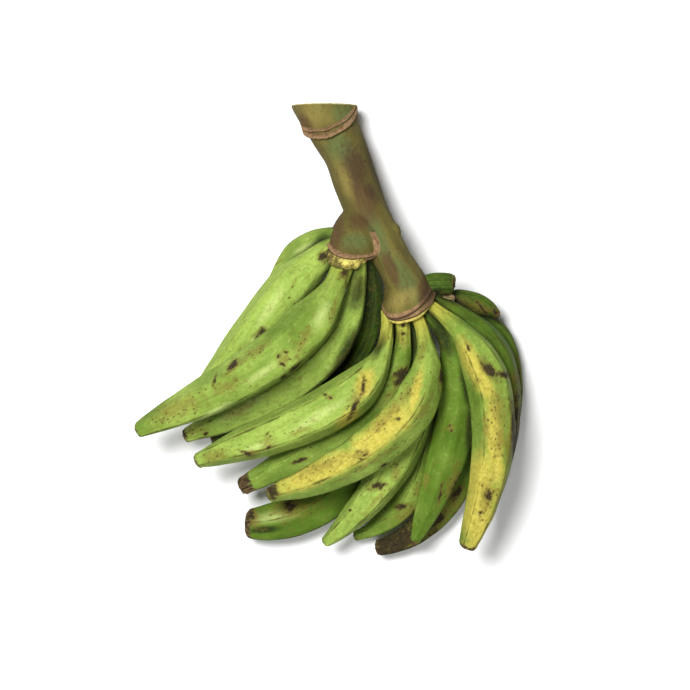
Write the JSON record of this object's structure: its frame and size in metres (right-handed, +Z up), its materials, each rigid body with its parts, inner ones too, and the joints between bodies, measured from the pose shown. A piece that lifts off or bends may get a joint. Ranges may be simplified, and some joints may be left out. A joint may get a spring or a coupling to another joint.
{
  "type": "plantain bunch",
  "caption": "Picked bunch of green plantains: a cut stalk carrying hands of long, curved, ridged fingers, lying on its back, to be cooked or sold as food.",
  "frame": {"origin": "middle of the bunch's box, on the surface that it lies on", "axes": "+Y towards the sawn end of the stalk, +X towards the lower hand's far side, +Z up from the surface"},
  "size_m": [0.3905, 0.4551, 0.124],
  "materials": {
    "green_peel": "waxy satin fruit skin, fresh green with brown flecks, scars and dark ridges",
    "yellowing_peel": "waxy satin fruit skin turning yellow, with brown flecks and a dark patch",
    "stalk_skin": "dull olive plant stem with lengthwise fibres, brown bruises and tan scar lips",
    "dry_fibre": "dry, rough brown fibre"
  },
  "bodies": {
    "root": {"stalk": "stalk_skin", "upper_finger_1": "green_peel", "upper_finger_2": "green_peel", "upper_finger_3": "green_peel", "upper_finger_4": "green_peel", "upper_finger_5": "green_peel", "lower_finger_1": "green_peel", "lower_finger_2": "green_peel", "lower_finger_3": "yellowing_peel", "lower_finger_4": "green_peel", "lower_finger_5": "green_peel", "lower_finger_6": "green_peel", "lower_finger_7": "green_peel", "lower_finger_8": "green_peel", "lower_finger_9": "yellowing_peel", "lower_finger_10": "green_peel", "lower_finger_11": "green_peel", "short_finger": "green_peel", "cut_stub": "green_peel", "dry_stub": "dry_fibre"}
  },
  "joints": []
}
